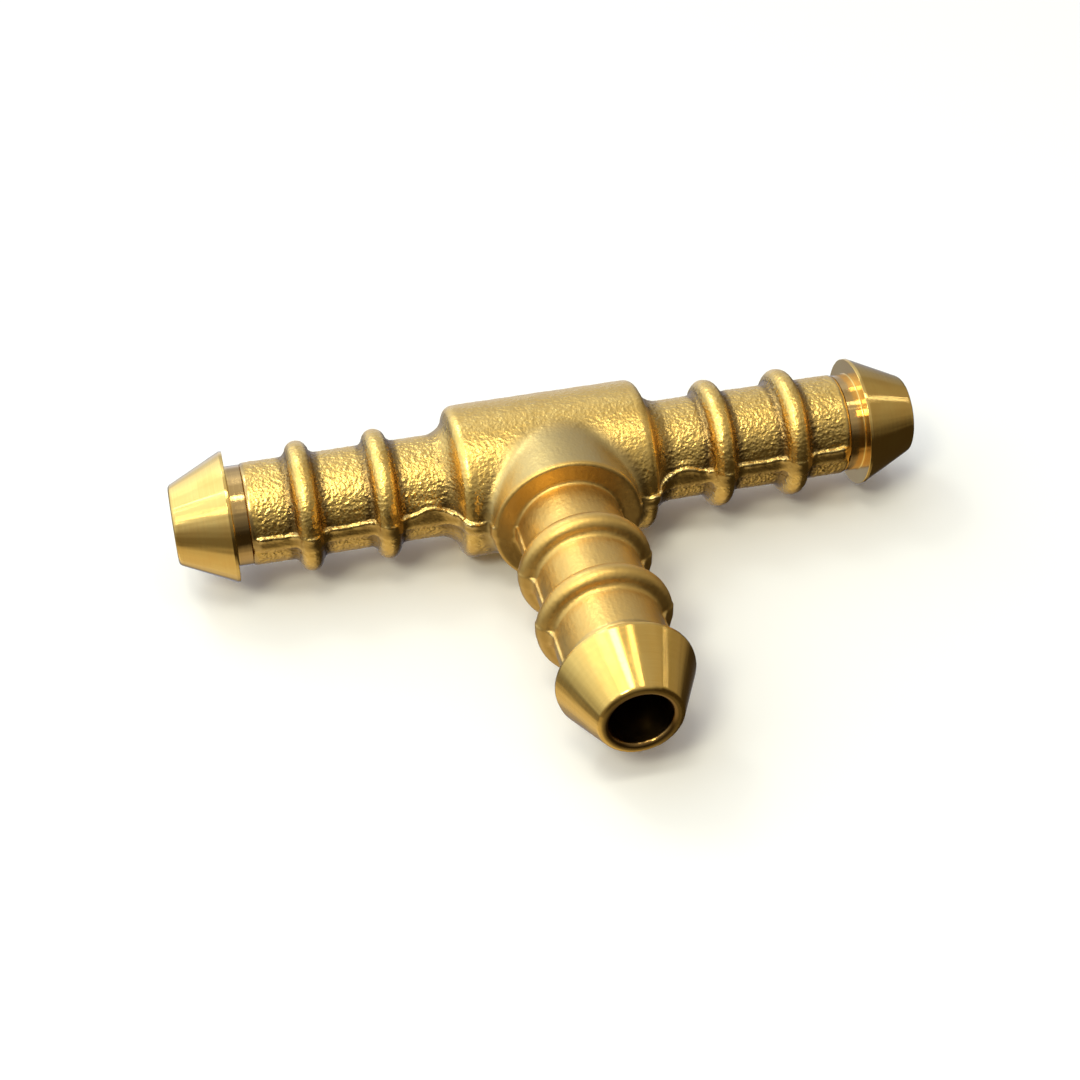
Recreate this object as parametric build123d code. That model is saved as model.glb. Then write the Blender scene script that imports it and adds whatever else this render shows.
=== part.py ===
from build123d import *
import os

# Barbed brass tee connector for soft hose: one forging, turned at its three ends and drilled through.
# The run lies along X, the branch points along -Y, and the two axes cross at the origin.
# Every length is in millimetres.  The forging's parting plane is Z = 0.

# Forged shanks and their rounded rings
SHANK_RADIUS = 4.0
RING_CREST_RADIUS = 5.1
RING_ROUND = 0.9            # radius of a ring's rounded crest, seen in section
RING_FILLET = 0.55          # concave fillet between a ring and the shank
RUN_RINGS = (13.35, 19.4)   # distance of each ring from the crossing of the axes
BRANCH_RINGS = (12.4, 18.3)

# Hub: a barrel along the run with a short round boss towards the branch
BARREL_RADIUS = 6.0
BARREL_EDGE = 0.86          # rounded edge at each end of the barrel
BARREL_FLARE = 1.75         # concave sweep from the barrel's end down to the shank
FLARE_END = 9.4             # where that sweep meets the shank
RUN_TAIL_START = 9.5        # where the hub gives way to a run tail
BOSS_RADIUS = 5.8
BOSS_REACH = 7.15           # end face of the boss, from the run's axis
BOSS_EDGE = 0.3
BOSS_ROOT_FILLET = 0.3      # between the boss's end face and the branch shank
BRANCH_TAIL_START = 8.0
MITRE_FILLET = 0.8          # where the boss grows out of the barrel

# Flash trimmed off around the parting line leaves a low, flat-sided band.  It stands proud of the
# shanks and the hub and fills the corners beside the rings.  It is nearly flush on the rings' crests
# and flush on the boss's end face.
FLASH_HALF_THICKNESS = 0.62
FLASH_REACH = 0.16
FLASH_CREST_REACH = 0.03
FLASH_RING_FILLET = 0.9

# Turned ends: a narrow neck, then a barb that tapers to the tip
NECK_RADIUS = 3.9
NECK_RUN_IN = 0.4           # fall in radius per millimetre where the tool enters the shank
RUN_NECK_START = 23.9
BRANCH_NECK_START = 23.15
NECK_LENGTH = 1.15
BARB_RADIUS = 5.1
BARB_LAND = 0.25            # narrow cylinder left at the barb's crest
TIP_RADIUS = 3.05
RUN_REACH = 29.5            # tip of each run end, from the branch's axis
BRANCH_REACH = 28.85        # tip of the branch, from the run's axis

# Drilled waterways
BORE_RADIUS = 2.3
MOUTH_RADIUS = 2.5          # broken edge at the mouth of each bore
MOUTH_DEPTH = 0.2


def to_left(shape):
    return Rot(0, 0, 180) * shape


def to_branch(shape):
    return Rot(0, 0, -90) * shape


def spun(outline):
    """The solid swept by a half section around the run's axis."""
    return revolve(outline, Axis.X, 360)


def closed(edges, start, end):
    """The face between a chain of edges and the axis, from one station to the other."""
    chain = Curve() + edges
    below = Polyline((end, (chain @ 1).Y), (end, 0), (start, 0), (start, (chain @ 0).Y))
    return make_face(Curve() + [*edges, below])


def ring_edges(centre, shank, crest, fillet):
    """A ring's section: concave fillet, rounded crest, concave fillet, all tangent to one another."""
    crest_centre = crest - RING_ROUND
    fillet_centre = shank + fillet
    reach = RING_ROUND + fillet
    half_width = (reach**2 - (fillet_centre - crest_centre) ** 2) ** 0.5
    share = RING_ROUND / reach
    touch_x = half_width * share
    touch_y = crest_centre + (fillet_centre - crest_centre) * share
    before = RadiusArc((centre - half_width, shank), (centre - touch_x, touch_y), -fillet)
    top = ThreePointArc((centre - touch_x, touch_y), (centre, crest), (centre + touch_x, touch_y))
    after = RadiusArc((centre + touch_x, touch_y), (centre + half_width, shank), -fillet)
    return before, top, after


def tail_face(start, end, rings, shank, crest, fillet):
    """Half section of a straight shank with its rings."""
    edges = []
    station = start
    for centre in rings:
        before, top, after = ring_edges(centre, shank, crest, fillet)
        edges += [Line((station, shank), before @ 0), before, top, after]
        station = (after @ 1).X
    edges.append(Line((station, shank), (end, shank)))
    return closed(edges, start, end)


def barrel_face(grow):
    """Section of the barrel and the flares that run out onto the shanks, grown evenly outwards."""
    shank = SHANK_RADIUS + grow
    radius = BARREL_RADIUS + grow
    edge = BARREL_EDGE + grow
    flare = BARREL_FLARE - grow
    edge_centre = radius - edge
    flare_centre = shank + flare
    reach = edge + flare
    edge_x = FLARE_END - (reach**2 - (flare_centre - edge_centre) ** 2) ** 0.5
    share = edge / reach
    touch = (edge_x + (FLARE_END - edge_x) * share, edge_centre + (flare_centre - edge_centre) * share)
    half = closed([
        Line((0, radius), (edge_x, radius)),
        RadiusArc((edge_x, radius), touch, edge),
        RadiusArc(touch, (FLARE_END, shank), -flare),
        Line((FLARE_END, shank), (RUN_TAIL_START, shank)),
    ], 0, RUN_TAIL_START)
    return half + mirror(half, Plane.YZ)


def boss_face(grow):
    """Half section of the branch boss and the start of its shank, grown outwards but for the end face."""
    shank = SHANK_RADIUS + grow
    radius = BOSS_RADIUS + grow
    edge = BOSS_EDGE + grow
    root = BOSS_ROOT_FILLET - grow
    return closed([
        Line((0, radius), (BOSS_REACH - edge, radius)),
        RadiusArc((BOSS_REACH - edge, radius), (BOSS_REACH, radius - edge), edge),
        Line((BOSS_REACH, radius - edge), (BOSS_REACH, shank + root)),
        RadiusArc((BOSS_REACH, shank + root), (BOSS_REACH + root, shank), -root),
        Line((BOSS_REACH + root, shank), (BRANCH_TAIL_START, shank)),
    ], 0, BRANCH_TAIL_START)


def flash_band(half_section):
    """The trimmed flash that follows a half section's outline on both sides of the axis."""
    return extrude(half_section + mirror(half_section, Plane.XZ), FLASH_HALF_THICKNESS, both=True)


def run_in(neck_start):
    """Room left by the turning tool as it enters the shank: a cone that opens away from the neck."""
    far = SHANK_RADIUS
    wide = NECK_RADIUS + NECK_RUN_IN * (neck_start - far)
    return spun(make_face(Polyline(
        (neck_start, 0), (neck_start, NECK_RADIUS), (far, wide), (far, 0), close=True)))


def bore(start, end):
    return Pos((start + end) / 2, 0, 0) * Rot(0, 90, 0) * Cylinder(BORE_RADIUS, end - start)


def forged_tail(start, neck_start, rings):
    """A drilled shank with its rings and flash, pointing along +X."""
    shank = spun(tail_face(start, neck_start, rings, SHANK_RADIUS, RING_CREST_RADIUS, RING_FILLET))
    flash = flash_band(tail_face(
        start, neck_start, rings,
        SHANK_RADIUS + FLASH_REACH, RING_CREST_RADIUS + FLASH_CREST_REACH, FLASH_RING_FILLET))
    return ((shank + flash) & run_in(neck_start)) - bore(start, neck_start)


def turned_nozzle(neck_start, reach):
    """The turned neck and barb at the end of a tail, pointing along +X."""
    barb_start = neck_start + NECK_LENGTH
    return spun(make_face(Polyline(
        (neck_start, BORE_RADIUS), (neck_start, NECK_RADIUS), (barb_start, NECK_RADIUS),
        (barb_start, BARB_RADIUS), (barb_start + BARB_LAND, BARB_RADIUS), (reach, TIP_RADIUS),
        (reach, MOUTH_RADIUS), (reach - MOUTH_DEPTH, BORE_RADIUS), close=True)))


def tee_body():
    """Barrel and boss, blended together, with the flash around them and both waterways."""
    joined = spun(barrel_face(0)) + to_branch(spun(boss_face(0)))
    mitre = joined.edges().filter_by(GeomType.BSPLINE)
    joined = fillet(mitre, MITRE_FILLET)
    joined += flash_band(barrel_face(FLASH_REACH))
    joined += to_branch(flash_band(boss_face(FLASH_REACH)))
    joined -= bore(-RUN_TAIL_START, RUN_TAIL_START)
    return joined - to_branch(bore(0, BRANCH_TAIL_START))


run_tail = forged_tail(RUN_TAIL_START, RUN_NECK_START, RUN_RINGS)
run_nozzle = turned_nozzle(RUN_NECK_START, RUN_REACH)

parts = {
    "tee_body": tee_body(),
    "right_tail": run_tail,
    "left_tail": to_left(run_tail),
    "branch_tail": to_branch(forged_tail(BRANCH_TAIL_START, BRANCH_NECK_START, BRANCH_RINGS)),
    "right_nozzle": run_nozzle,
    "left_nozzle": to_left(run_nozzle),
    "branch_nozzle": to_branch(turned_nozzle(BRANCH_NECK_START, BRANCH_REACH)),
}

os.makedirs("parts", exist_ok=True)
for name, shape in parts.items():
    export_step(shape.solids()[0], f"parts/{name}.step")
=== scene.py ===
import math

import bmesh
import bpy
import numpy as np
from mathutils import Matrix, Vector


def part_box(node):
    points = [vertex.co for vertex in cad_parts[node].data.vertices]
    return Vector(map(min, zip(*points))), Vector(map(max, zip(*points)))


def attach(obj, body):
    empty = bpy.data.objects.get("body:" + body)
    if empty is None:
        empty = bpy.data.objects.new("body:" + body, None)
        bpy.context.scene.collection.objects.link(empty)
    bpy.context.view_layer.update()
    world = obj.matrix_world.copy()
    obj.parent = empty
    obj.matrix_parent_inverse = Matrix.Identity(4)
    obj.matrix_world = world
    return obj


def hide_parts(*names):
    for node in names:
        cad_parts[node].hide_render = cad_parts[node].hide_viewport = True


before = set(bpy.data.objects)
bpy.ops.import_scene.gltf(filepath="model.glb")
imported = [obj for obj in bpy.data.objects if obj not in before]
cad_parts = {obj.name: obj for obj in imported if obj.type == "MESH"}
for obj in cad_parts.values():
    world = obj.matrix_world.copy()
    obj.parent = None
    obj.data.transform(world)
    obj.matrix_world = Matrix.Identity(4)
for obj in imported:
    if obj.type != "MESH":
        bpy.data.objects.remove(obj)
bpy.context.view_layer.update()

# A brass tee connector: a shot-blasted forging with three bright turned nozzles, drilled through.
# The run lies along X, the branch points along -Y, and the forging's parting plane is Z = 0.
# Meshes are worked out in millimetres and scaled to metres when they are made into pieces.
MM = 0.001

# Where the forging is divided, and how far everything reaches, read from the CAD nodes
TAIL_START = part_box("right_tail")[0].x / MM
NECK_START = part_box("right_tail")[1].x / MM
BRANCH_START = -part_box("branch_tail")[1].y / MM
BRANCH_NECK = -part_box("branch_tail")[0].y / MM
RUN_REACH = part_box("right_nozzle")[1].x / MM
BRANCH_REACH = -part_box("branch_nozzle")[0].y / MM
HUB_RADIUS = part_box("tee_body")[1].z / MM
BARB_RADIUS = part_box("right_nozzle")[1].z / MM

# Sizes that the nodes' boxes don't show
BORE_RADIUS = 2.3
BOSS_RADIUS = 5.8
BAND_HALF = 0.62            # half the thickness of the trimmed flash
NECK_RADIUS = 3.9
NECK_RUN_IN = 0.4           # fall in radius per millimetre where the turning tool enters a tail
NECK_LENGTH = 1.15
BARB_LAND = 0.25            # narrow cylinder at the barb's crest
TIP_RADIUS = 3.05
MOUTH_RADIUS = 2.5          # broken edge at the mouth of each bore
MOUTH_DEPTH = 0.2

# How finely the skins are divided
VOXEL = 0.105               # cell of the forging's mesh
COINCIDENT = 0.0002         # vertices nearer than this are one
BORE_SIDES = 128
NOZZLE_SIDES = 256
NOZZLE_STEP = 0.11

# Relief of the blasted skin: how far it rises, and how far across its features are
GRAIN_HEIGHT = 0.033
GRAIN_SIZE = 0.34
FINE_GRAIN_SIZE = 0.18
FINE_GRAIN_SHARE = 0.3
WAVE_HEIGHT = 0.018
WAVE_SIZE = 2.4
RIPPLE_SIZE = 0.9
RIPPLE_SHARE = 0.8
BURR_HEIGHT = 0.27
BEAD_SIZE = 0.55
FINE_BEAD_SIZE = 0.28
FINE_BEAD_SHARE = 0.6

# How the flash's upper edge strays from its straight line
FOOT_STATION = 10.2         # from the branch's axis, where each flare meets its shank
FOOT_WIDTH = 1.1
FOOT_RISE = 0.42
HUB_DROP = 0.22
WANDER_HEIGHT = 0.16
WANDER_SIZE = 2.2

# Rounds of smoothing for the corners that the die wore
BLEND_ROUNDS = 140
LOWER_EDGE_ROUNDS = 40

# Lengthwise facets that the turning tool's chatter leaves on a nozzle, as (size, height, seed)
FACETS = ((2.6, 0.016, 21), (0.9, 0.012, 22), (0.35, 0.009, 23))
FACET_STRETCH = 0.1         # how slowly a facet changes along the nozzle, against across it
FEED_PITCH = 0.42
FEED_HEIGHT = 0.0012


# ---------------------------------------------------------------- noise and mesh helpers

def gradient_noise(points, size, seed):
    """Smooth noise from about -1 to 1 whose features are about one size across."""
    rng = np.random.default_rng(seed)
    table = rng.permutation(256)
    gradients = rng.normal(size=(256, 3))
    gradients /= np.linalg.norm(gradients, axis=1)[:, None]
    place = points / size
    cell = np.floor(place).astype(int)
    inside = place - cell
    ease = inside**3 * (inside * (inside * 6 - 15) + 10)
    total = np.zeros(len(points))
    for corner in np.ndindex(2, 2, 2):
        pick = table[(cell[:, 0] + corner[0]) & 255]
        pick = table[(pick + cell[:, 1] + corner[1]) & 255]
        pick = table[(pick + cell[:, 2] + corner[2]) & 255]
        weight = np.prod(np.where(corner, ease, 1 - ease), axis=1)
        total += weight * ((inside - corner) * gradients[pick]).sum(axis=1)
    to_full_range = 1.6
    return total * to_full_range


def smooth_step(value, low, high):
    t = np.clip((value - low) / (high - low), 0, 1)
    return t * t * (3 - 2 * t)


def within(distance, full, gone):
    """One where the distance is less than the first value, falling smoothly to none at the second."""
    return 1 - smooth_step(distance, full, gone)


def read_vectors(mesh, name):
    flat = np.empty(len(mesh.vertices) * 3)
    mesh.vertices.foreach_get(name, flat)
    return flat.reshape(-1, 3)


def set_vertices(mesh, points):
    mesh.vertices.foreach_set("co", points.reshape(-1).astype(np.float32))
    mesh.update()


def add_attribute(mesh, name, values):
    layer = mesh.attributes.new(name, "FLOAT", "POINT")
    layer.data.foreach_set("value", np.asarray(values, dtype=np.float32))


def new_object(name, mesh):
    piece = bpy.data.objects.new(name, mesh)
    bpy.context.scene.collection.objects.link(piece)
    return piece


def mesh_from(name, points, faces):
    mesh = bpy.data.meshes.new(name)
    mesh.from_pydata([tuple(p) for p in points], [], faces)
    mesh.update()
    return mesh


def bake_modifiers(piece):
    depsgraph = bpy.context.evaluated_depsgraph_get()
    mesh = bpy.data.meshes.new_from_object(piece.evaluated_get(depsgraph), depsgraph=depsgraph)
    piece.modifiers.clear()
    old, piece.data = piece.data, mesh
    bpy.data.meshes.remove(old)


def rod_mesh(name, start, end, radius):
    """A closed round rod from one point to another."""
    mesh = bpy.data.meshes.new(name)
    shape = bmesh.new()
    start, end = Vector(start), Vector(end)
    turn = (end - start).to_track_quat("Z", "Y").to_matrix().to_4x4()
    bmesh.ops.create_cone(
        shape, cap_ends=True, segments=BORE_SIDES, radius1=radius, radius2=radius,
        depth=(end - start).length, matrix=Matrix.Translation((start + end) / 2) @ turn)
    shape.to_mesh(mesh)
    shape.free()
    return mesh


def merge_coincident(mesh):
    """Joins vertices that a cut left in the same place."""
    shape = bmesh.new()
    shape.from_mesh(mesh)
    bmesh.ops.remove_doubles(shape, verts=shape.verts, dist=COINCIDENT)
    shape.to_mesh(mesh)
    shape.free()


def drill(piece, start, end):
    """Cuts one straight bore through the piece."""
    tool_mesh = rod_mesh("drill", start, end, BORE_RADIUS)
    tool = new_object("drill", tool_mesh)
    step = piece.modifiers.new("drill", "BOOLEAN")
    step.operation = "DIFFERENCE"
    step.solver = "MANIFOLD"
    step.object = tool
    bake_modifiers(piece)
    bpy.data.objects.remove(tool)
    bpy.data.meshes.remove(tool_mesh)
    merge_coincident(piece.data)


def smooth_where(piece, weights, rounds):
    """Relaxes the mesh where the weights say, to the nearest tenth."""
    group = piece.vertex_groups.new(name="soft")
    for level in range(1, 11):
        chosen = np.flatnonzero(np.round(weights * 10) == level)
        if len(chosen):
            group.add(chosen.tolist(), level / 10, "REPLACE")
    step = piece.modifiers.new("soften", "SMOOTH")
    step.factor = 0.5
    step.iterations = rounds
    step.vertex_group = group.name
    bake_modifiers(piece)
    piece.vertex_groups.clear()


def neighbour_mean(mesh, values, rounds):
    """Each vertex's value averaged again and again over the vertices it shares an edge with."""
    edges = np.empty(len(mesh.edges) * 2, dtype=np.int64)
    mesh.edges.foreach_get("vertices", edges)
    a, b = edges.reshape(-1, 2).T
    size = len(values)
    count = np.bincount(edges, minlength=size)
    for _ in range(rounds):
        total = np.bincount(a, values[b], minlength=size) + np.bincount(b, values[a], minlength=size)
        values = total / count
    return values


def sunk(mesh, points, normals, rounds):
    """How far each vertex lies below its surroundings: more than zero in a hollow, less on an edge."""
    around = np.column_stack([neighbour_mean(mesh, axis, rounds) for axis in points.T])
    return ((around - points) * normals).sum(axis=1)


# ---------------------------------------------------------------- the forging

def raw_forging():
    """The four forged nodes with their bores filled, remeshed as one fine skin."""
    shape = bmesh.new()
    for name in ("tee_body", "left_tail", "right_tail", "branch_tail"):
        shape.from_mesh(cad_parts[name].data)
    bmesh.ops.scale(shape, vec=(1 / MM,) * 3, verts=shape.verts)
    overlap = 0.3
    ends = (((-NECK_START, 0, 0), (NECK_START, 0, 0)), ((0, 0, 0), (0, -BRANCH_NECK, 0)))
    for start, end in ends:
        plug = rod_mesh("plug", start, end, BORE_RADIUS + overlap)
        shape.from_mesh(plug)
        bpy.data.meshes.remove(plug)
    mesh = bpy.data.meshes.new("forging")
    shape.to_mesh(mesh)
    shape.free()
    piece = new_object("forging", mesh)
    remesh = piece.modifiers.new("remesh", "REMESH")
    remesh.mode = "VOXEL"
    remesh.voxel_size = VOXEL
    bake_modifiers(piece)
    return piece


def soften_hub(forging):
    """The die's worn corners: a wide blend where boss meets barrel, and the flash's lower edge rolled."""
    x, y, z = read_vectors(forging.data, "co").T
    from_boss = np.abs(np.hypot(x, z) - BOSS_RADIUS)
    from_barrel = np.abs(np.hypot(y, z) - HUB_RADIUS)
    near = within(np.maximum(from_boss, from_barrel), 0.5, 1.5)
    behind_rim = smooth_step(y, -6.6, -5.9) * within(y, -0.8, 0.2)
    clear_of_flash = smooth_step(np.abs(z), BAND_HALF + 0.1, BAND_HALF + 0.9)
    smooth_where(forging, near * behind_rim * clear_of_flash, BLEND_ROUNDS)
    z = read_vectors(forging.data, "co")[:, 2]
    lower_edge = within(np.abs(z + BAND_HALF), 0.15, 0.45)
    smooth_where(forging, lower_edge, LOWER_EDGE_ROUNDS)


def boss_share(points):
    """One on the boss and the branch, which came out of the die smoother than the run."""
    x, y, z = points.T
    return within(np.hypot(x, z), 5.9, 6.9) * within(y, -3.4, -1.2)


def hub_share(points):
    return within(np.abs(points[:, 0]), 7.5, 9.5)


def turned_share(points):
    """One where the turning tool has run into the ends of the forged tails."""
    x, y, z = points.T
    run = np.hypot(y, z) - (NECK_RADIUS + NECK_RUN_IN * (NECK_START - np.abs(x)))
    branch = np.hypot(x, z) - (NECK_RADIUS + NECK_RUN_IN * (BRANCH_NECK + y))
    off = np.where(y < -BRANCH_START, branch, run)
    return within(np.abs(off), 0.02, 0.05)


def grain_share(points):
    """How coarse the blasted grain is: full on the tails, less on the hub, least on branch and flash."""
    trimmed = within(np.abs(points[:, 2]), 0.48, 0.6)
    return (1 - 0.4 * hub_share(points)) * (1 - 0.7 * boss_share(points)) * (1 - 0.75 * trimmed)


def scale_and_shade_share(points, normals, depth):
    """One where the brass is painted darker: painted shade and old scale in the fillets, painted shade on
    the steep flanks (most on those facing +X), and a little darker on the flash.
    """
    facing = normals[:, 0]
    flank = 0.7 * smooth_step(facing, 0.5, 0.8) + 0.3 * smooth_step(-facing, 0.5, 0.8)
    flank *= smooth_step(np.abs(points[:, 0]), 7.5, 8.5)
    trimmed = within(np.abs(points[:, 2]), 0.45, 0.65)
    scale_and_shade = np.maximum.reduce([smooth_step(depth, -0.01, 0.07), flank, 0.4 * trimmed])
    return scale_and_shade * (1 - boss_share(points))


def flash_wander(points):
    """How far the flash's upper edge strays: up at the feet of the flares, down on the hub."""
    x = np.abs(points[:, 0])
    foot = np.exp(-((x - FOOT_STATION) / FOOT_WIDTH) ** 2)
    hub = within(x, 7.2, 8.4)
    wander = gradient_noise(points * (1, 1, 0.1), WANDER_SIZE, seed=9)
    return FOOT_RISE * foot - HUB_DROP * hub + WANDER_HEIGHT * wander


def burr_crest(mesh, points, normals):
    """One along the sharp upper edge of the flash, spread a little to each side."""
    ledge = within(np.abs(points[:, 2] - BAND_HALF), 0.12, 0.24) * smooth_step(normals[:, 2], 0.3, 0.55)
    edge = smooth_step(-sunk(mesh, points, normals, 1), 0.005, 0.013)
    crest = ledge * edge * (1 - turned_share(points))
    return np.clip(4 * neighbour_mean(mesh, crest, 5), 0, 1)


def blasted_grain(points):
    """Dimples between small round humps: the humps stand out more than the dimples sink in."""
    grain = gradient_noise(points, GRAIN_SIZE, seed=3)
    grain += FINE_GRAIN_SHARE * gradient_noise(points, FINE_GRAIN_SIZE, seed=4)
    return 0.5 * grain + 0.7 * np.hypot(np.maximum(grain, 0), 0.2) - 0.2


def layers_of(points):
    """The vertices that lie in each dividing plane, as (index of axis, place, chosen)."""
    x, y, z = points.T
    low, high = -0.25 * VOXEL, 0.75 * VOXEL
    clear_of_tails = np.abs(x) < 5.5
    found = []
    for side in (-1, 1):
        past = side * x - TAIL_START
        found.append((0, side * TAIL_START, (past >= low) & (past < high)))
        found.append((0, side * NECK_START, side * x - NECK_START >= low))
    past = -y - BRANCH_START
    found.append((1, -BRANCH_START, (past >= low) & (past < high) & clear_of_tails))
    found.append((1, -BRANCH_NECK, -y - BRANCH_NECK >= low))
    return found


def work_surface(forging):
    """Blasted grain, forging waviness and the ragged burr along the flash's upper edge."""
    mesh = forging.data
    points = read_vectors(mesh, "co")
    normals = read_vectors(mesh, "normal")
    layers = layers_of(points)
    unturned = 1 - turned_share(points)
    boss = boss_share(points)
    height = points[:, 2]

    crest = burr_crest(mesh, points, normals)
    beads = gradient_noise(points, BEAD_SIZE, seed=7)
    beads += FINE_BEAD_SHARE * gradient_noise(points, FINE_BEAD_SIZE, seed=8)
    burr = crest * np.clip(0.8 + 0.95 * beads, 0.15, 1.7) * (1 - 0.7 * boss)

    depth = sunk(mesh, points, normals, 60)
    rubbed = smooth_step(-depth, 0.03, 0.09)
    rough = grain_share(points) * unturned * (1 - 0.45 * rubbed)
    grain = blasted_grain(points)
    wave = gradient_noise(points, WAVE_SIZE, seed=5)
    wave += RIPPLE_SHARE * gradient_noise(points, RIPPLE_SIZE, seed=6)
    rise = GRAIN_HEIGHT * rough * grain + BURR_HEIGHT * burr
    rise += WAVE_HEIGHT * wave * unturned * (1 - 0.5 * boss)
    # Where the skin is painted darker: painted shade in fillets and on flanks, partly old scale
    scale_and_shade = scale_and_shade_share(points, normals, depth)

    points = points + normals * rise[:, None]
    near_edge = within(np.abs(height - BAND_HALF), 0.1, 1.1)
    off_boss = 1 - boss_share(points)
    points[:, 2] += near_edge * unturned * off_boss * flash_wander(points)
    for axis, place, chosen in layers:
        points[chosen, axis] = place
    set_vertices(mesh, points)
    # The burr mask also paints a highlight along the flash's upper edge
    add_attribute(mesh, "burr", np.clip(crest * (0.7 + 0.6 * beads), 0, 1))
    add_attribute(mesh, "height", np.clip(0.5 + 0.45 * grain, 0, 1))
    # This attribute carries the painted shade in fillets and on flanks, partly old scale
    add_attribute(mesh, "scale_and_shade", scale_and_shade)
    add_attribute(mesh, "grain", rough)


def corner_table(mesh):
    """The vertices at the corners of each four-sided face."""
    corners = np.empty(len(mesh.loops), dtype=np.int64)
    mesh.loops.foreach_get("vertex_index", corners)
    return corners.reshape(-1, 4)


def outer_loops(faces):
    """The open rims of a set of faces, each as a list of vertices that a closing face can use."""
    starts = faces.reshape(-1)
    ends = np.roll(faces, -1, axis=1).reshape(-1)
    span = faces.max() + 1
    forward = starts * span + ends
    single = ~np.isin(forward, ends * span + starts)
    following = dict(zip(ends[single].tolist(), starts[single].tolist()))
    loops = []
    while following:
        first, here = following.popitem()
        loop = [first]
        while here != first:
            loop.append(here)
            here = following.pop(here)
        loops.append(loop)
    return loops


def cut_out(forging, name, faces):
    """One stretch of the forging, closed where it is divided from its neighbours."""
    used, local = np.unique(faces, return_inverse=True)
    local = local.reshape(-1, 4)
    points = read_vectors(forging.data, "co")[used]
    mesh = mesh_from(name, points, local.tolist() + outer_loops(local))
    for layer in ("burr", "height", "scale_and_shade", "grain"):
        values = np.empty(len(forging.data.vertices), dtype=np.float32)
        forging.data.attributes[layer].data.foreach_get("value", values)
        add_attribute(mesh, layer, values[used])
    return new_object(name + "_skin", mesh)


def split_forging(forging):
    """The forging's four stretches, drilled, each a closed mesh."""
    points = read_vectors(forging.data, "co")
    faces = corner_table(forging.data)
    flat = np.zeros(len(faces), dtype=bool)
    for axis, place, chosen in layers_of(points):
        flat |= (np.abs(points[faces, axis] - place) < 1e-6).all(axis=1)
    faces = faces[~flat]
    x, y, z = points[faces].mean(axis=1).T
    zones = {
        "left_tail": x < -TAIL_START,
        "right_tail": x > TAIL_START,
        "branch_tail": y < -BRANCH_START,
    }
    zones["tee_body"] = ~(zones["left_tail"] | zones["right_tail"] | zones["branch_tail"])
    far = 40
    pieces = {}
    for name, chosen in zones.items():
        piece = cut_out(forging, name, faces[chosen])
        if name != "branch_tail":
            drill(piece, (-far, 0, 0), (far, 0, 0))
        if name in ("tee_body", "branch_tail"):
            drill(piece, (0, 0, 0), (0, -far, 0))
        pieces[name] = piece
    return pieces


forging = raw_forging()
soften_hub(forging)
work_surface(forging)
skins = split_forging(forging)
bpy.data.objects.remove(forging)


# ---------------------------------------------------------------- the turned nozzles

def rounded(corners):
    """A closed outline from (station, radius, rounding) corners, each rounded with a short arc."""
    outline = []
    steps = 5
    for i, (s, r, rounding) in enumerate(corners):
        here = Vector((s, r))
        if not rounding:
            outline.append(here)
            continue
        before = (Vector(corners[i - 1][:2]) - here).normalized()
        after = (Vector(corners[(i + 1) % len(corners)][:2]) - here).normalized()
        half = before.angle(after) / 2
        centre = here + (before + after).normalized() * rounding / math.sin(half)
        start = here + before * rounding / math.tan(half) - centre
        end = here + after * rounding / math.tan(half) - centre
        for k in range(steps + 1):
            spoke = start.lerp(end, k / steps)
            outline.append(centre + spoke.normalized() * rounding)
    return outline


def nozzle_outline(neck, reach):
    """Closed section of a nozzle, from the neck round to the bore."""
    barb = neck + NECK_LENGTH
    return rounded([
        (neck, BORE_RADIUS, 0),
        (neck, NECK_RADIUS, 0),
        (barb, NECK_RADIUS, 0.1),
        (barb, BARB_RADIUS, 0.04),
        (barb + BARB_LAND, BARB_RADIUS, 0.07),
        (reach, TIP_RADIUS, 0.4),
        (reach, MOUTH_RADIUS, 0.3),
        (reach - MOUTH_DEPTH, BORE_RADIUS, 0.3),
    ])


def divided(outline, step):
    """The closed outline with its long sides divided into short steps."""
    fine = []
    for a, b in zip(outline, outline[1:] + outline[:1]):
        count = max(1, round((b - a).length / step))
        fine += [a.lerp(b, i / count) for i in range(count)]
    return fine


def nozzle_mesh(name, neck, reach, place):
    """A turned nozzle with faint chatter left by the tool."""
    outline = divided(nozzle_outline(neck, reach), NOZZLE_STEP)
    turns = 2 * math.pi * np.arange(NOZZLE_SIDES) / NOZZLE_SIDES
    station, radius = np.array(outline).T
    s = np.repeat(station, NOZZLE_SIDES)
    r = np.repeat(radius, NOZZLE_SIDES)
    a = np.tile(turns, len(outline))
    chatter = FEED_HEIGHT * np.sin(2 * math.pi * s / FEED_PITCH)
    drawn_out = np.column_stack((s * FACET_STRETCH, BARB_RADIUS * np.cos(a), BARB_RADIUS * np.sin(a)))
    for size, height, seed in FACETS:
        chatter += height * gradient_noise(drawn_out, size, seed)
    outside = smooth_step(r, BORE_RADIUS + 0.3, BORE_RADIUS + 0.5)
    worked = r + outside * chatter
    points = place(s, worked * np.cos(a), worked * np.sin(a))
    first = np.arange(len(outline) * NOZZLE_SIDES).reshape(len(outline), NOZZLE_SIDES)
    across = np.roll(first, -1, axis=1)
    faces = np.stack([first, across, np.roll(across, -1, axis=0), np.roll(first, -1, axis=0)], axis=-1)
    mesh = mesh_from(name, points, faces.reshape(-1, 4).tolist())
    add_attribute(mesh, "station", s - neck)
    # This mask paints shade into the bore and over the mouth's edge
    add_attribute(mesh, "inside", within(r, BORE_RADIUS + 0.15, BORE_RADIUS + 0.55))
    return mesh


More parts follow.
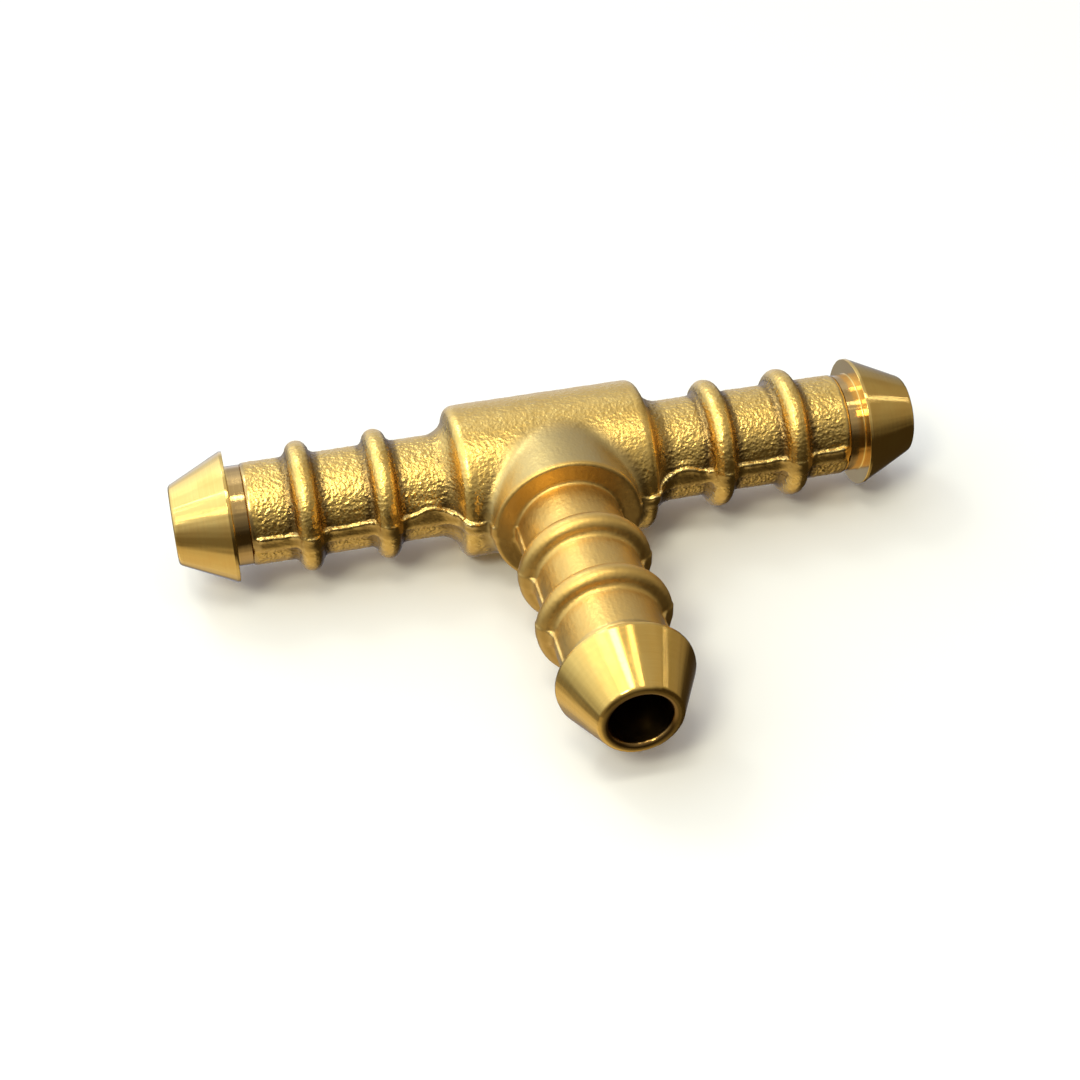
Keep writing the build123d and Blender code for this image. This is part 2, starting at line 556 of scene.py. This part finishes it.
NOZZLES = {
    "left_nozzle": (NECK_START, RUN_REACH, lambda s, u, v: np.column_stack((-s, -u, v))),
    "right_nozzle": (NECK_START, RUN_REACH, lambda s, u, v: np.column_stack((s, u, v))),
    "branch_nozzle": (BRANCH_NECK, BRANCH_REACH, lambda s, u, v: np.column_stack((u, -s, v))),
}
for name, (neck, reach, place) in NOZZLES.items():
    skins[name] = new_object(name + "_turned", nozzle_mesh(name, neck, reach, place))


# ---------------------------------------------------------------- materials

# Colours that the brass gives to what it mirrors
# The pit colour is darker as painted shade in the grain's pits
PIT_SHADE_COLOR = (0.87, 0.56, 0.155, 1)
PEAK_COLOR = (0.98, 0.67, 0.21, 1)
SATIN_COLOR = (0.76, 0.49, 0.15, 1)         # the branch and its boss
SCALE_COLOR = (0.60, 0.44, 0.18, 1)         # the boss behind its rim
# Painted shade, with some old scale: darkens the fillets, the ring flanks and a little of the flash
SCALE_AND_SHADE_COLOR = (0.34, 0.215, 0.075, 1)
CUT_COLOR = (0.62, 0.42, 0.16, 1)           # where the turning tool ran in
# Painted highlight where the flash's upper edge catches the light
BURR_HIGHLIGHT_COLOR = (1, 0.82, 0.42, 1)
# Painted shade in the neck's groove
NECK_SHADE_COLOR = (0.66, 0.43, 0.17, 1)
# Painted shade inside the bores and on the mouth's edge
BORE_SHADE_COLOR = (0.28, 0.16, 0.05, 1)
RUN_BARB_COLORS = ((0.92, 0.58, 0.17, 1), (0.97, 0.69, 0.23, 1))
BRANCH_BARB_COLORS = ((0.86, 0.53, 0.13, 1), (0.94, 0.63, 0.19, 1))

# Roughness of the smoothest turned metal
RUN_BARB_ROUGHNESS = 0.13
BRANCH_BARB_ROUGHNESS = 0.19

# Features per metre in the shaders' patterns, and how deep their bumps are, in metres
PIT_SCALE = 4000
FINE_SCALE = 3100
PATCH_SCALE = 420
SMEAR_SCALE = 500
GRAIN_BUMP = 0.00009
RING_BUMP = 0.00001
RINGS_PER_MM = 9.0

# Edges sharper than this many degrees aren't shaded smooth
FORGED_SHARP = 62
TURNED_SHARP = 35


class Nodes:
    """Short names for adding nodes to one material or world."""

    def __init__(self, tree):
        self.tree = tree

    def add(self, kind, **settings):
        node = self.tree.nodes.new("ShaderNode" + kind)
        for name, value in settings.items():
            setattr(node, name, value)
        return node

    def link(self, source, target):
        self.tree.links.new(source, target)

    def feed(self, node, **inputs):
        """Sets or links a node's inputs; an underscore and a number pick an input by its place."""
        for name, value in inputs.items():
            socket = node.inputs[int(name[1:]) if name[0] == "_" else name]
            if isinstance(value, bpy.types.NodeSocket):
                self.link(value, socket)
            else:
                socket.default_value = value
        return node

    def attribute(self, name):
        return self.add("Attribute", attribute_name=name).outputs["Fac"]

    def math(self, operation, *values, clamp=False):
        node = self.add("Math", operation=operation, use_clamp=clamp)
        self.feed(node, **{f"_{i}": value for i, value in enumerate(values)})
        return node.outputs[0]

    def weighted(self, first, first_share, second, second_share, clamp=False):
        """The sum of two values, each times its share."""
        first_part = self.math("MULTIPLY", first, first_share)
        second_part = self.math("MULTIPLY", second, second_share)
        return self.math("ADD", first_part, second_part, clamp=clamp)

    def noise(self, where, scale, detail=2.0, roughness=0.5):
        node = self.add("TexNoise")
        self.feed(node, Vector=where, Scale=scale, Detail=detail, Roughness=roughness)
        return node.outputs["Fac"]

    def span(self, value, low, high, to_low, to_high):
        node = self.add("MapRange", interpolation_type="SMOOTHSTEP")
        self.feed(node, _0=value, _1=low, _2=high, _3=to_low, _4=to_high)
        return node.outputs[0]

    def blend(self, share, first, second):
        node = self.add("Mix", data_type="RGBA")
        self.feed(node, _0=share, _6=first, _7=second)
        return node.outputs[2]

    def stretched(self, where, scale):
        node = self.add("Mapping")
        self.feed(node, Vector=where, Scale=scale)
        return node.outputs[0]


def new_material(name):
    material = bpy.data.materials.new(name)
    material.use_nodes = True
    return material, Nodes(material.node_tree), material.node_tree.nodes["Principled BSDF"]


def forged_brass():
    """Shot-blasted brass: fine sparkling grain, dull and painted darker as shade in its pits, with painted
    shade in its fillets and flanks and a painted highlight along the flash's edge.
    """
    material, nodes, shader = new_material("forged_brass")
    where = nodes.add("TexCoord").outputs["Object"]
    height = nodes.attribute("height")
    burr = nodes.attribute("burr")
    grain = nodes.attribute("grain")
    turned = nodes.attribute("turned")
    bore = nodes.attribute("inside")
    satin = nodes.attribute("satin")

    pits = nodes.add("TexVoronoi", feature="SMOOTH_F1")
    nodes.feed(pits, Vector=where, Scale=PIT_SCALE, Smoothness=0.3, Randomness=1)
    fine = nodes.noise(where, FINE_SCALE, 2, 0.6)
    patches = nodes.noise(where, PATCH_SCALE, 2)
    cut = nodes.math("MAXIMUM", turned, bore)
    blasted = nodes.math("MULTIPLY", grain, nodes.math("SUBTRACT", 1, cut), clamp=True)

    bump = nodes.add("Bump")
    relief = nodes.math("ADD", nodes.math("MULTIPLY", pits.outputs["Distance"], 0.5), fine)
    nodes.feed(bump, Strength=blasted, Distance=GRAIN_BUMP, Height=relief)
    nodes.link(bump.outputs[0], shader.inputs["Normal"])

    # The grain's pits are painted darker as shade and its humps lighter, mixed with random tone patches
    lit = nodes.weighted(height, 0.7, patches, 0.35, clamp=True)
    color = nodes.blend(nodes.span(lit, 0.25, 0.8, 0, 1), PIT_SHADE_COLOR, PEAK_COLOR)
    color = nodes.blend(satin, color, SATIN_COLOR)
    color = nodes.blend(nodes.attribute("scale"), color, SCALE_COLOR)
    # Painted shade in the fillets and on the flanks, with some old scale
    color = nodes.blend(nodes.attribute("scale_and_shade"), color, SCALE_AND_SHADE_COLOR)
    color = nodes.blend(cut, color, CUT_COLOR)
    # Painted highlight along the flash's upper edge
    color = nodes.blend(burr, color, BURR_HIGHLIGHT_COLOR)
    nodes.link(color, shader.inputs["Base Color"])
    dull = nodes.math("ADD", nodes.span(lit, 0.2, 0.85, 0.38, 0.24), nodes.math("MULTIPLY", satin, 0.12))
    roughness = nodes.math("SUBTRACT", dull, nodes.math("MULTIPLY", cut, 0.08))
    nodes.link(roughness, shader.inputs["Roughness"])
    shader.inputs["Metallic"].default_value = 1
    return material


def turned_brass(name, axis, smoothest, dark, light):
    """Bright turned brass: fine tool rings that draw each highlight out along the taper."""
    material, nodes, shader = new_material(name)
    where = nodes.add("TexCoord").outputs["Object"]
    station = nodes.attribute("station")
    bore = nodes.attribute("inside")
    rings = nodes.noise(nodes.stretched(station, (RINGS_PER_MM, 0, 0)), 1.0, 4, 0.7)
    smears = nodes.noise(where, SMEAR_SCALE, 2)

    bump = nodes.add("Bump")
    nodes.feed(bump, Strength=0.7, Distance=RING_BUMP, Height=rings)
    nodes.link(bump.outputs[0], shader.inputs["Normal"])
    tangent = nodes.add("Tangent", direction_type="RADIAL", axis=axis)
    nodes.link(tangent.outputs[0], shader.inputs["Tangent"])
    shader.inputs["Anisotropic"].default_value = 0.8
    shader.inputs["Anisotropic Rotation"].default_value = 0.25

    tone = nodes.weighted(rings, 0.6, smears, 0.4)
    color = nodes.blend(nodes.span(tone, 0.3, 0.7, 0, 1), dark, light)
    # The neck is painted darker as shade in its groove
    neck = nodes.span(station, NECK_LENGTH - 0.25, NECK_LENGTH + 0.05, 1, 0)
    color = nodes.blend(neck, color, NECK_SHADE_COLOR)
    # Painted shade in the bore and on the mouth
    color = nodes.blend(bore, color, BORE_SHADE_COLOR)
    nodes.link(color, shader.inputs["Base Color"])
    nodes.link(nodes.span(smears, 0.3, 0.7, smoothest, smoothest + 0.06), shader.inputs["Roughness"])
    shader.inputs["Metallic"].default_value = 1
    return material


def mark_forged(mesh):
    """The shares that the forged brass's look depends on, besides those kept from the forging."""
    points = read_vectors(mesh, "co")
    x, y, z = points.T
    beside_branch = np.where(y < 0.01, np.hypot(x, z), np.inf)
    from_bore = np.minimum(np.hypot(y, z), beside_branch)
    add_attribute(mesh, "satin", boss_share(points))
    add_attribute(mesh, "scale", boss_share(points) * smooth_step(y, -6.95, -6.6))
    add_attribute(mesh, "turned", turned_share(points))
    add_attribute(mesh, "inside", within(from_bore, BORE_RADIUS + 0.01, BORE_RADIUS + 0.1))


def finish(piece, material, sharp_angle):
    """Scales a finished skin to metres and gives it its material and its sharp edges."""
    mesh = piece.data
    mesh.transform(Matrix.Scale(MM, 4))
    mesh.materials.clear()
    mesh.materials.append(material)
    mesh.polygons.foreach_set("material_index", [0] * len(mesh.polygons))
    mesh.shade_smooth()
    mesh.set_sharp_from_angle(angle=math.radians(sharp_angle))


forged = forged_brass()
turned_run = turned_brass("turned_brass_run", "X", RUN_BARB_ROUGHNESS, *RUN_BARB_COLORS)
turned_branch = turned_brass("turned_brass_branch", "Y", BRANCH_BARB_ROUGHNESS, *BRANCH_BARB_COLORS)

for node, piece in skins.items():
    if "nozzle" in node:
        finish(piece, turned_branch if "branch" in node else turned_run, TURNED_SHARP)
    else:
        mark_forged(piece.data)
        finish(piece, forged, FORGED_SHARP)
    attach(piece, "root")
    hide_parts(node)


# ---------------------------------------------------------------- floor and light

def heading(azimuth, elevation):
    """The direction towards a place around the tee.  Azimuth 0 is in front, at -Y, and 90 to the right."""
    a, e = math.radians(azimuth), math.radians(elevation)
    return Vector((math.sin(a) * math.cos(e), -math.cos(a) * math.cos(e), math.sin(e)))


def pale_floor():
    """A pale floor that the tee lies on, left out of what the metal mirrors."""
    half = 3
    corners = [(-half, -half, 0), (half, -half, 0), (half, half, 0), (-half, half, 0)]
    mesh = mesh_from("floor", corners, [(0, 1, 2, 3)])
    material, nodes, shader = new_material("pale_floor")
    shader.inputs["Base Color"].default_value = (0.94, 0.93, 0.95, 1)
    shader.inputs["Roughness"].default_value = 0.8
    mesh.materials.append(material)
    floor = new_object("floor", mesh)
    floor.location.z = -HUB_RADIUS * MM
    floor.visible_glossy = False
    return floor


pale_floor()

# Lamps half a metre away: azimuth, elevation, (width, height), brightness of its face, colour
LAMP_DISTANCE = 0.5
LAMPS = {
    "key_lamp": (-41, 50, (0.12, 0.12), 17, (1, 0.97, 0.7)),
    "overhead_lamp": (-40, 76, (0.12, 0.12), 9, (1, 0.97, 0.75)),
    "back_lamp": (-146, 51, (0.10, 0.10), 8.5, (0.93, 1, 0.85)),
    "right_lamp": (50, 72, (0.08, 0.08), 6, (1, 0.97, 0.75)),
    "window_bar": (-92, 43, (0.03, 0.12), 4, (1, 0.97, 0.7)),
    "window_bar_low": (-67, 31, (0.03, 0.10), 3, (1, 0.97, 0.7)),
    "side_lamp": (95, 24, (0.03, 0.05), 3, (1, 1, 1)),
}

# The room that the metal mirrors: azimuth, elevation, full within this angle and gone by this one,
# brightness, colour
ROOM = {
    "window": (-115, 30, 10, 65, 0.95, (0.88, 1, 1.1)),
    "ceiling": (-40, 70, 10, 85, 0.54, (1, 1, 0.95)),
    "back_wall": (180, 20, 28, 52, 0.55, (0.92, 1, 1.2)),
    "right_wall": (100, 18, 15, 45, 0.28, (1, 0.92, 0.7)),
    "table": (-60, -66, 10, 50, 0.6, (1, 0.88, 0.62)),
    "bench": (-60, -15, 5, 35, 0.13, (1, 0.88, 0.62)),
    "stand": (-118, -46, 5, 26, 0.4, (1, 0.95, 0.75)),
    "far_table": (178, -30, 10, 40, 0.38, (0.85, 1, 1.4)),
}
SHADE = (0.04, 0.03, 0.015)
PHOTOGRAPHER = (-14, 20, 5, 40)
PHOTOGRAPHER_DARKENS = 0.5
BACKDROP_COLOR = (0.86, 0.86, 0.85, 1)      # what the camera sees beyond the floor


def add_lamp(name, azimuth, elevation, size, brightness, color):
    """A small soft lamp; brightness is what its face shows, whatever its size."""
    light = bpy.data.lights.new(name, "AREA")
    light.shape = "RECTANGLE"
    light.size, light.size_y = size
    light.energy = brightness * math.pi * size[0] * size[1]
    light.color = color
    lamp = new_object(name, light)
    back = heading(azimuth, elevation)
    lamp.location = back * LAMP_DISTANCE
    lamp.rotation_euler = back.to_track_quat("Z", "Y").to_euler()


for name, settings in LAMPS.items():
    add_lamp(name, *settings)

world = bpy.data.worlds.new("studio")
bpy.context.scene.world = world
world.use_nodes = True
nodes = Nodes(world.node_tree)
direction = nodes.add("TexCoord").outputs["Generated"]


def lobe(azimuth, elevation, full, gone, brightness):
    """A soft round patch of the surroundings, full within one angle and gone by another."""
    facing = nodes.add("VectorMath", operation="DOT_PRODUCT")
    nodes.feed(facing, _0=direction, _1=heading(azimuth, elevation))
    edge, core = math.cos(math.radians(gone)), math.cos(math.radians(full))
    return nodes.span(facing.outputs["Value"], edge, core, 0, brightness)


def scaled(color, share):
    node = nodes.add("VectorMath", operation="SCALE")
    return nodes.feed(node, _0=color, Scale=share).outputs[0]


room = nodes.add("VectorMath", operation="ADD")
nodes.feed(room, _0=SHADE, _1=(0, 0, 0))
for *shape, tint in ROOM.values():
    wider = nodes.add("VectorMath", operation="ADD")
    nodes.feed(wider, _0=room.outputs[0], _1=scaled(tint, lobe(*shape)))
    room = wider
unshaded = nodes.math("SUBTRACT", 1, lobe(*PHOTOGRAPHER, PHOTOGRAPHER_DARKENS))
seen = nodes.add("LightPath").outputs["Is Camera Ray"]
surroundings = nodes.blend(seen, scaled(room.outputs[0], unshaded), BACKDROP_COLOR)
nodes.link(surroundings, world.node_tree.nodes["Background"].inputs["Color"])


# ---------------------------------------------------------------- camera

# Where it stands, as an azimuth and elevation in degrees and a distance in metres from its target
AZIMUTH = -11.98
ELEVATION = 40.24
DISTANCE = 0.15438
ROLL = math.radians(-1.256)
TARGET = Vector((-0.002424, -0.007894, -0.000486))

# The lens, in millimetres, and the nearest thing that it shows, in metres
FOCAL_LENGTH = 67.6
SENSOR = 36
NEAREST = 0.001

back = heading(AZIMUTH, ELEVATION)
across = Vector((0, 0, 1)).cross(back).normalized()
up = back.cross(across)
turn = Matrix((
    across * math.cos(ROLL) + up * math.sin(ROLL),
    up * math.cos(ROLL) - across * math.sin(ROLL),
    back)).transposed().to_4x4()
lens = bpy.data.cameras.new("camera")
lens.lens = FOCAL_LENGTH
lens.sensor_width = SENSOR
lens.clip_start = NEAREST
camera = new_object("camera", lens)
camera.matrix_world = Matrix.Translation(TARGET + back * DISTANCE) @ turn
bpy.context.scene.camera = camera
bpy.context.scene.view_settings.view_transform = "Standard"
